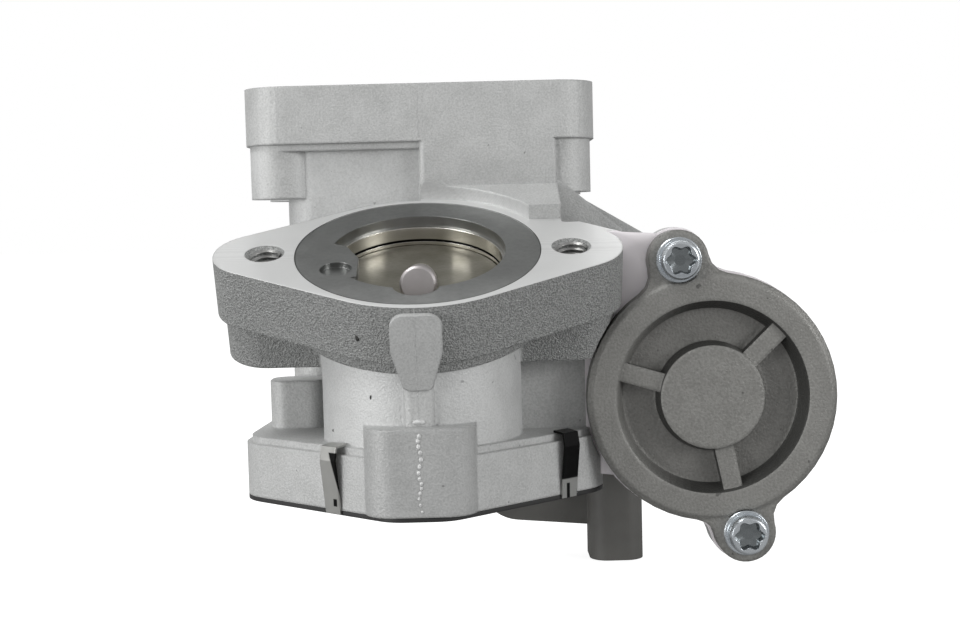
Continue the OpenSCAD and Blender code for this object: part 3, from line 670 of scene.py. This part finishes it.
# What the casting and the cap carry beyond the construction
upper_screw = cap_screw("upper_cap_screw", 0)
cap_screw("lower_cap_screw", 180)
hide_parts("cap_screws")
thread("left_thread_crests", -1)
thread("right_thread_crests", 1)
parting_line("gate_parting_line", -0.2, 18.6, 52)
parting_line("upper_parting_line", -0.1, 60, 91, 0.06)
flash_bumps()
MARK_SIZES = {"gate_chip": (1.4, 0.5, 0.6), "flange_pit": (0.5, 0.12, 0.8),
              "neck_pit": (0.25, 0.1, 0.5), "base_pit": (0.25, 0.1, 0.3)}
MARKS = {name: place_at(HOUSING, *IMAGE_POINTS[name]) for name in MARK_SIZES}
blobs("gate_chip", [(MARKS["gate_chip"], MARK_SIZES["gate_chip"])], "flash_metal")
pits = ("flange_pit", "neck_pit", "base_pit")
blobs("casting_pits", [(MARKS[name], MARK_SIZES[name]) for name in pits], "pit_dark")

# ---------- stage: floor, backdrop and light, in metres ----------
FLOOR_Z = CAD_BOX[0][2] - 0.2 * MM
FLOOR_HALF = 6.0
WORLD_LIGHT, WORLD_SEEN = 0.47, 1.0
# Each lamp: where it hangs, the point that it looks at, its width and height, and its watts
LAMPS = {
    "key_light": ((-0.35, -0.2, 0.75), (0.02, 0, 0.05), (0.4, 0.4), 3.1),
    "right_light": ((0.75, -0.45, 0.25), (0.03, 0, 0.04), (0.4, 0.3), 3.0),
    "left_light": ((-0.75, -0.5, 0.1), (0.0, 0, 0.02), (0.4, 0.3), 4.0),
    "back_light": ((0.1, 0.7, 0.6), (0.02, 0, 0.06), (0.6, 0.4), 1.5),
}


def build_floor():
    """A pale floor that keeps the shadow; the camera sees it white, and clear from below."""
    corners = [(x * FLOOR_HALF, y * FLOOR_HALF, FLOOR_Z)
               for x, y in ((-1, -1), (1, -1), (1, 1), (-1, 1))]
    mesh = bpy.data.meshes.new("floor")
    mesh.from_pydata(corners, [], [(0, 1, 2, 3)])
    floor = bpy.data.objects.new("floor", mesh)
    bpy.context.scene.collection.objects.link(floor)
    kit = Kit("floor")
    seen = kit.add("ShaderNodeLightPath").outputs["Is Camera Ray"]
    kit.set(Base_Color=(0.4, 0.4, 0.4), Roughness=0.9, Specular_IOR_Level=0.0,
            Emission_Color=(1, 1, 1), Emission_Strength=kit.times(seen, 0.9))
    either = kit.add("ShaderNodeMixShader")
    kit.feed(either.inputs[0], kit.add("ShaderNodeNewGeometry").outputs["Backfacing"])
    kit.feed(either.inputs[1], kit.shader.outputs[0])
    kit.feed(either.inputs[2], kit.add("ShaderNodeBsdfTransparent").outputs[0])
    kit.feed(kit.tree.nodes["Material Output"].inputs["Surface"], either.outputs[0])
    mesh.materials.append(kit.mat)
    floor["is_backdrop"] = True


def build_world():
    """Soft light from all round, white where the camera or glass looks at it."""
    world = bpy.data.worlds.new("world")
    bpy.context.scene.world = world
    world.use_nodes = True
    tree = world.node_tree
    background = tree.nodes["Background"]
    background.inputs["Color"].default_value = (1, 1, 1, 1)
    path = tree.nodes.new("ShaderNodeLightPath")
    most = tree.nodes.new("ShaderNodeMath")
    most.operation = "MAXIMUM"
    tree.links.new(path.outputs["Is Camera Ray"], most.inputs[0])
    tree.links.new(path.outputs["Is Transmission Ray"], most.inputs[1])
    strength = tree.nodes.new("ShaderNodeMapRange")
    strength.inputs["To Min"].default_value = WORLD_LIGHT
    strength.inputs["To Max"].default_value = WORLD_SEEN
    tree.links.new(most.outputs[0], strength.inputs["Value"])
    tree.links.new(strength.outputs[0], background.inputs["Strength"])


def softbox(name, at, aim, size, watts):
    """An area lamp that looks at a point."""
    light = bpy.data.lights.new(name, "AREA")
    light.shape = "RECTANGLE"
    light.size, light.size_y = size
    light.energy = watts
    lamp = bpy.data.objects.new(name, light)
    bpy.context.scene.collection.objects.link(lamp)
    lamp.location = at
    lamp.rotation_euler = (Vector(aim) - Vector(at)).to_track_quat("-Z", "Y").to_euler()


build_floor()
build_world()
for lamp_name, settings in LAMPS.items():
    softbox(lamp_name, *settings)
bpy.context.scene.view_settings.view_transform = "Standard"


# ---------- where each thing shows in the image --------------------
def world_points(objects):
    """The finished vertices of some objects, in the row frame."""
    graph = bpy.context.evaluated_depsgraph_get()
    for obj in objects:
        finished = obj.evaluated_get(graph)
        for vertex in finished.to_mesh().vertices:
            yield finished.matrix_world @ vertex.co
        finished.to_mesh_clear()


def measure_points():
    """Works out where each thing shows in the image, in pixels."""
    seen = [to_image(p) for p in world_points(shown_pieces())]
    screw_front = Vector((0, (SCREW_SEAT - HEAD_H) * MM, 0))
    shown = {
        "left_x": min(x for x, _ in seen), "right_x": max(x for x, _ in seen),
        "top_y": min(y for _, y in seen), "bottom_y": max(y for _, y in seen),
        "left_thread": to_image(on_branch(-BRANCH_BOLT, 0, FACE_UP)),
        "right_thread": to_image(on_branch(BRANCH_BOLT, 0, FACE_UP)),
        "ring_middle": to_image(on_branch(0, 0, FACE_UP)),
        "shaft_end": to_image(Vector((0, SHAFT_FRONT * MM, PIVOT.z))),
        "cap_boss": to_image(Vector((MOTOR.x, (CAP_FRONT + CAP_BOSS_BACK) * MM, MOTOR.z))),
        "upper_cap_screw": to_image(screw_place(0) + screw_front),
        "lower_cap_screw": to_image(screw_place(180) + screw_front),
        "front_boss_top": to_image(FRONT_BOSS),
        **{name: to_image(place) for name, place in MARKS.items()},
    }


measure_points()
